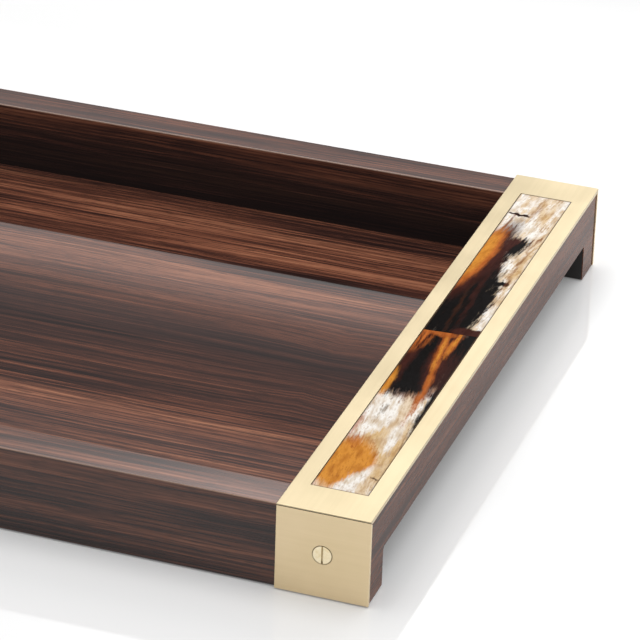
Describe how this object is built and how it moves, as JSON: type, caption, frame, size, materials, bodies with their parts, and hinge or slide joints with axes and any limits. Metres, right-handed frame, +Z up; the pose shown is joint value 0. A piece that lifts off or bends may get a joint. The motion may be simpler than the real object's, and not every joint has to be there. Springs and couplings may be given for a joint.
{
  "type": "serving tray",
  "caption": "Rectangular serving tray of glossy dark veneered wood, with brass-capped handle bars, horn inlays and finger grips at both ends.",
  "frame": {"origin": "middle of the tray, on the surface that it stands on", "axes": "+X along the tray's length towards one handle bar, +Y across it, +Z up"},
  "size_m": [0.6, 0.4, 0.048],
  "materials": {
    "rosewood_veneer": "gloss lacquer over dark streaked rosewood, grain along each sheet's length",
    "black_core": "black satin lacquer on solid wood, seen only in the finger grips and underneath",
    "plywood": "bare plywood core, hidden between its veneers",
    "satin_brass": "pale satin brass, finely brushed",
    "polished_brass": "polished screw heads",
    "polished_horn": "natural horn, cream to amber to black, polished to a gloss",
    "beech": "bare turned beech, hidden",
    "felt": "pressed black felt"
  },
  "bodies": {
    "root": {"back_rail": "black_core", "back_rail_outer_veneer": "rosewood_veneer", "back_rail_inner_veneer": "rosewood_veneer", "back_rail_top_veneer": "rosewood_veneer", "front_rail": "black_core", "front_rail_outer_veneer": "rosewood_veneer", "front_rail_inner_veneer": "rosewood_veneer", "front_rail_top_veneer": "rosewood_veneer", "bottom_panel": "plywood", "floor_veneer": "rosewood_veneer", "underside_veneer": "rosewood_veneer", "right_handle_bar": "black_core", "right_end_wall": "black_core", "right_end_veneer": "rosewood_veneer", "right_well_veneer": "rosewood_veneer", "right_top_plate": "satin_brass", "right_back_cheek": "satin_brass", "right_front_cheek": "satin_brass", "right_back_horn": "polished_horn", "right_front_horn": "polished_horn", "left_handle_bar": "black_core", "left_end_wall": "black_core", "left_end_veneer": "rosewood_veneer", "left_well_veneer": "rosewood_veneer", "left_top_plate": "satin_brass", "left_back_cheek": "satin_brass", "left_front_cheek": "satin_brass", "left_back_horn": "polished_horn", "left_front_horn": "polished_horn", "cheek_screws": "polished_brass", "dowels": "beech", "felt_pads": "felt"}
  },
  "joints": []
}
